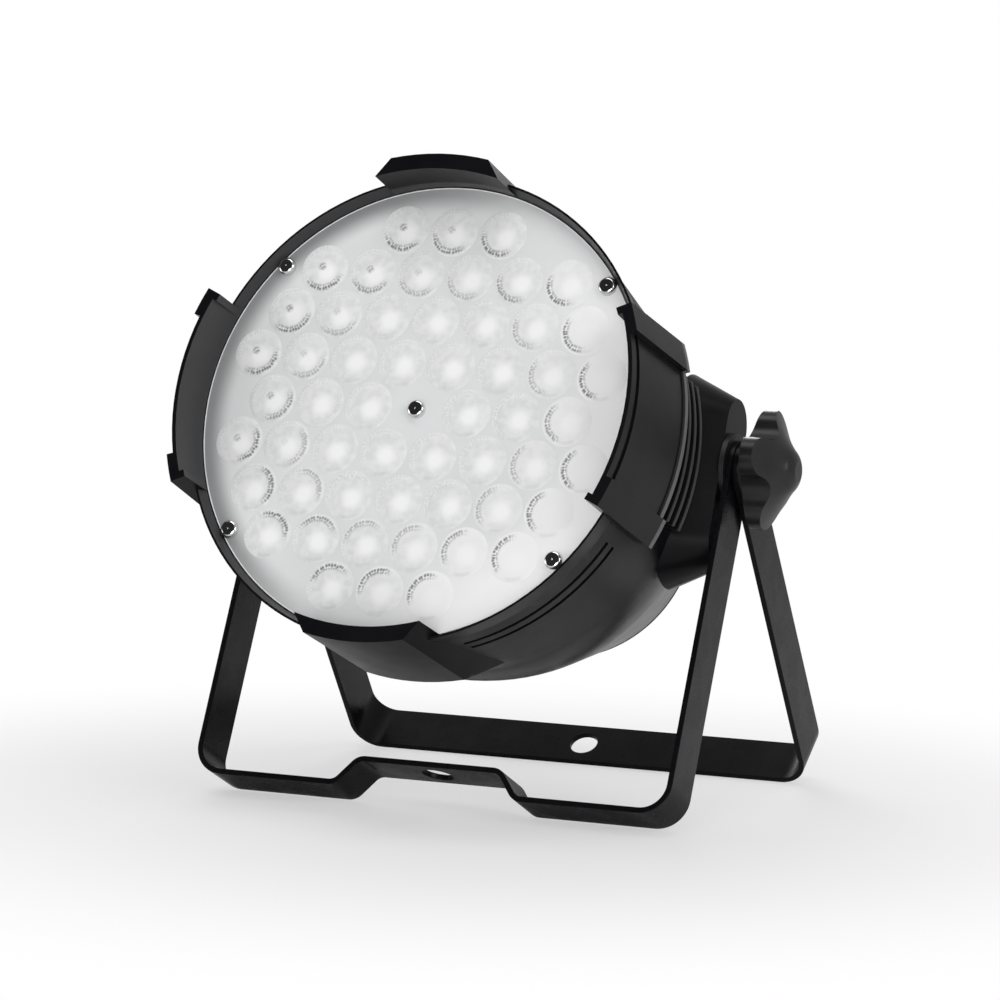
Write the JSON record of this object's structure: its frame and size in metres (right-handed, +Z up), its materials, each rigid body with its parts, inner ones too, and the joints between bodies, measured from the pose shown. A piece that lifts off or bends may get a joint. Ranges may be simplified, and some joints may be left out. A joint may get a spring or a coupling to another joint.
{
  "type": "led par light",
  "caption": "Round LED wash light head in a black cast bell housing, tilting between two folding flat-strip legs clamped by lobed knobs.",
  "frame": {"origin": "on the floor below the centre of the bounding box", "axes": "+X to the lamp's right side, -Y to the front where the lenses face, +Z up"},
  "size_m": [0.277, 0.2596, 0.2824],
  "materials": {
    "housing_black": "satin",
    "bracket_black": "satin",
    "plate_white": "satin",
    "lens_clear": "clear",
    "led_yellow": "satin",
    "board_white": "satin",
    "board_green": "satin",
    "sink_aluminium": "extruded",
    "screw_steel": "bright",
    "screw_black": "black oxide",
    "fan_black": "matt",
    "zinc_steel": "zinc plated",
    "washer_black": "matt",
    "knob_black": "satin",
    "insert_brass": "turned",
    "socket_black": "satin",
    "pin_silver": "plated",
    "window_dark": "tinted",
    "display_grey": "gloss",
    "button_grey": "matt",
    "latch_silver": "satin"
  },
  "bodies": {
    "front_bracket": {"front_bracket": "bracket_black"},
    "rear_bracket": {"rear_bracket": "bracket_black"},
    "head": {"housing_shell": "housing_black", "lens_plate": "plate_white", "lenses": "lens_clear", "led_emitters": "led_yellow", "led_board": "board_white", "centre_standoff": "insert_brass", "plate_screws": "screw_steel", "heat_sink": "sink_aluminium", "heat_sink_screws": "screw_steel", "fan_frame": "fan_black", "fan_screws": "screw_steel", "cross_plate": "zinc_steel", "cross_plate_screws": "screw_steel", "power_supply": "zinc_steel", "rear_cover": "housing_black", "cover_screws": "screw_black", "display_window": "window_dark", "display_module": "display_grey", "control_board": "board_green", "control_posts": "insert_brass", "tact_switches": "socket_black", "dmx_in": "socket_black", "dmx_in_pins": "pin_silver", "dmx_out": "socket_black", "dmx_out_insert": "socket_black", "socket_screws": "screw_black", "power_inlet": "socket_black", "inlet_blades": "pin_silver", "pivot_bolts": "zinc_steel", "inner_washers": "washer_black"},
    "fan_rotor": {"fan_rotor": "fan_black"},
    "release_latch": {"release_latch": "latch_silver"},
    "knob_washer_right": {"knob_washer_right": "zinc_steel"},
    "knob_washer_left": {"knob_washer_left": "zinc_steel"},
    "knob_right": {"knob_right": "knob_black", "knob_insert_right": "insert_brass"},
    "knob_left": {"knob_left": "knob_black", "knob_insert_left": "insert_brass"},
    "button_menu": {"button_menu": "button_grey"},
    "button_down": {"button_down": "button_grey"},
    "button_up": {"button_up": "button_grey"},
    "button_enter": {"button_enter": "button_grey"}
  },
  "joints": [
    {"name": "head_tilt", "type": "hinge", "parent": "front_bracket", "child": "head", "pos_m": [0, 0.01911, 0.15], "axis": [1, 0, 0], "range_deg": [-120, 24]},
    {"name": "rear_bracket_fold", "type": "hinge", "parent": "front_bracket", "child": "rear_bracket", "pos_m": [0, 0.01911, 0.15], "axis": [1, 0, 0], "range_deg": [-60, 140]},
    {"name": "fan_spin", "type": "hinge", "parent": "head", "child": "fan_rotor", "pos_m": [0, -0.02625, 0.15737], "axis": [0, -0.9342, 0.3567], "continuous": true},
    {"name": "knob_right_travel", "type": "slide", "parent": "head", "child": "knob_washer_right", "axis": [1, 0, 0], "range_m": [0, 0.0026]},
    {"name": "knob_right_turn", "type": "hinge", "parent": "knob_washer_right", "child": "knob_right", "pos_m": [0, 0.01911, 0.15], "axis": [1, 0, 0], "range_deg": [0, 720]},
    {"name": "knob_left_travel", "type": "slide", "parent": "head", "child": "knob_washer_left", "axis": [-1, 0, 0], "range_m": [0, 0.0026]},
    {"name": "knob_left_turn", "type": "hinge", "parent": "knob_washer_left", "child": "knob_left", "pos_m": [0, 0.01911, 0.15], "axis": [-1, 0, 0], "range_deg": [0, 720]},
    {"name": "button_menu_press", "type": "slide", "parent": "head", "child": "button_menu", "axis": [0, -0.9342, 0.3567], "range_m": [0, 0.0008], "stiffness_N_per_m": 500, "springref_m": -0.0004},
    {"name": "button_down_press", "type": "slide", "parent": "head", "child": "button_down", "axis": [0, -0.9342, 0.3567], "range_m": [0, 0.0008], "stiffness_N_per_m": 500, "springref_m": -0.0004},
    {"name": "button_up_press", "type": "slide", "parent": "head", "child": "button_up", "axis": [0, -0.9342, 0.3567], "range_m": [0, 0.0008], "stiffness_N_per_m": 500, "springref_m": -0.0004},
    {"name": "button_enter_press", "type": "slide", "parent": "head", "child": "button_enter", "axis": [0, -0.9342, 0.3567], "range_m": [0, 0.0008], "stiffness_N_per_m": 500, "springref_m": -0.0004},
    {"name": "release_latch_press", "type": "slide", "parent": "head", "child": "release_latch", "axis": [0, -0.9342, 0.3567], "range_m": [0, 0.002], "stiffness_N_per_m": 400, "springref_m": -0.0004}
  ],
  "couplings": [
    {"joint": "knob_right_travel", "follows": "knob_right_turn", "m_per_rad": 0.00019894},
    {"joint": "knob_left_travel", "follows": "knob_left_turn", "m_per_rad": 0.00019894}
  ]
}
